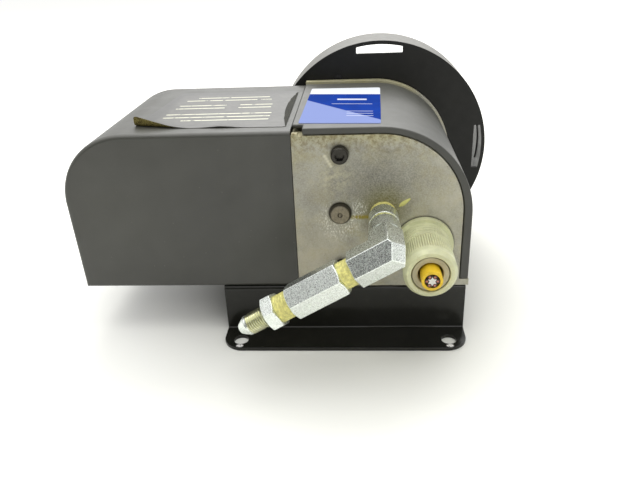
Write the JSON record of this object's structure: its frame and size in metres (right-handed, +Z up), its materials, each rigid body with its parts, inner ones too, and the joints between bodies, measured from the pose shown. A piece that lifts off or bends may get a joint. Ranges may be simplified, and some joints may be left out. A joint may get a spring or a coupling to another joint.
{
  "type": "electric lubrication pump",
  "caption": "Electric lubrication pump: gear pump and motor under moulded covers on a hat-section bracket, with a reservoir seat, outlet line and cable gland.",
  "frame": {"origin": "middle of the four foot holes, on the underside of the bracket's feet", "axes": "+X along the bracket, away from the motor; +Y towards the reservoir seat; +Z up from the feet"},
  "size_m": [0.2537, 0.2113, 0.1496],
  "materials": {
    "bracket_black": "gloss black enamel",
    "cast_aluminium": "sand cast, oil stained",
    "cover_grey": "satin warm grey enamel",
    "seat_black": "moulded, slightly dusty",
    "zinc_steel": "bright zinc plate",
    "machined_steel": "ground",
    "dark_steel": "black oxide",
    "gland_nylon": "natural nylon",
    "ring_nylon": "aged nylon",
    "thread_tape": "yellow thread tape",
    "cable_yellow": "yellow jacket",
    "core_dark": "dark insulation, copper inside",
    "filler_white": "fibrous filler",
    "rubber_black": "moulded",
    "bronze": "sintered",
    "gear_brass": "machined",
    "spigot_brass": "machined",
    "laminations": "stacked sheet",
    "copper_wire": "varnished winding",
    "plug_metal": "worn, staked",
    "board_green": "solder mask",
    "block_white": "moulded",
    "case_silver": "drawn can"
  },
  "bodies": {
    "base": {"mounting_bracket": "bracket_black", "pump_housing": "cast_aluminium", "wrap_cover": "cover_grey", "motor_cover": "cover_grey", "reservoir_seat": "seat_black", "seat_gasket": "rubber_black", "suction_spigot": "spigot_brass", "suction_strainer": "machined_steel", "outlet_extension": "zinc_steel", "outlet_elbow": "zinc_steel", "thread_tape": "thread_tape", "check_valve_body": "zinc_steel", "check_spring": "machined_steel", "flare_adapter": "zinc_steel", "gland_body": "gland_nylon", "gland_nut": "gland_nylon", "gland_clamp_ring": "ring_nylon", "gland_locknut": "gland_nylon", "cable_jacket": "cable_yellow", "cable_cores": "core_dark", "cable_filler": "filler_white", "terminal_block": "block_white", "relief_plug": "plug_metal", "relief_spring": "machined_steel", "pump_plate": "machined_steel", "shaft_bushes": "bronze", "shaft_seal": "rubber_black", "motor_plate": "cast_aluminium", "stator_core": "laminations", "stator_windings": "copper_wire", "motor_front_bell": "cast_aluminium", "motor_rear_bell": "cast_aluminium", "motor_bearings": "machined_steel", "motor_tie_bolts": "zinc_steel", "circuit_board": "board_green", "motor_capacitor": "case_silver", "board_relay": "rubber_black", "cover_posts": "zinc_steel", "cover_screws": "dark_steel", "face_screws": "dark_steel", "bracket_screws": "zinc_steel", "seat_screws": "zinc_steel", "pump_plate_screws": "dark_steel", "wrap_cover_screws": "dark_steel"},
    "rotor": {"motor_shaft": "machined_steel", "motor_pinion": "machined_steel", "rotor_core": "laminations", "motor_fan": "seat_black"},
    "drive_train": {"drive_shaft": "machined_steel", "reduction_gear": "gear_brass", "pump_drive_gear": "machined_steel"},
    "idler": {"idler_shaft": "machined_steel", "pump_idler_gear": "machined_steel"},
    "relief": {"relief_poppet": "machined_steel"},
    "check": {"check_ball": "machined_steel"}
  },
  "joints": [
    {"name": "rotor_spin", "type": "hinge", "parent": "base", "child": "rotor", "pos_m": [-0.07, -0.0032, 0.076], "axis": [1, 0, 0], "continuous": true},
    {"name": "drive_spin", "type": "hinge", "parent": "base", "child": "drive_train", "pos_m": [0, 0.02622, 0.0622], "axis": [1, 0, 0], "continuous": true},
    {"name": "idler_spin", "type": "hinge", "parent": "base", "child": "idler", "pos_m": [0.02, 0.02622, 0.0882], "axis": [1, 0, 0], "continuous": true},
    {"name": "relief_lift", "type": "slide", "parent": "base", "child": "relief", "axis": [0, -1, 0], "range_m": [0, 0.002], "stiffness_N_per_m": 600, "springref_m": -0.004, "deforming": ["relief_spring"]},
    {"name": "check_lift", "type": "slide", "parent": "base", "child": "check", "axis": [-0.866, 0, -0.5], "range_m": [0, 0.0025], "stiffness_N_per_m": 150, "springref_m": -0.004, "deforming": ["check_spring"]}
  ],
  "couplings": [
    {"joint": "drive_spin", "follows": "rotor_spin", "ratio": -0.3},
    {"joint": "idler_spin", "follows": "rotor_spin", "ratio": 0.3}
  ]
}
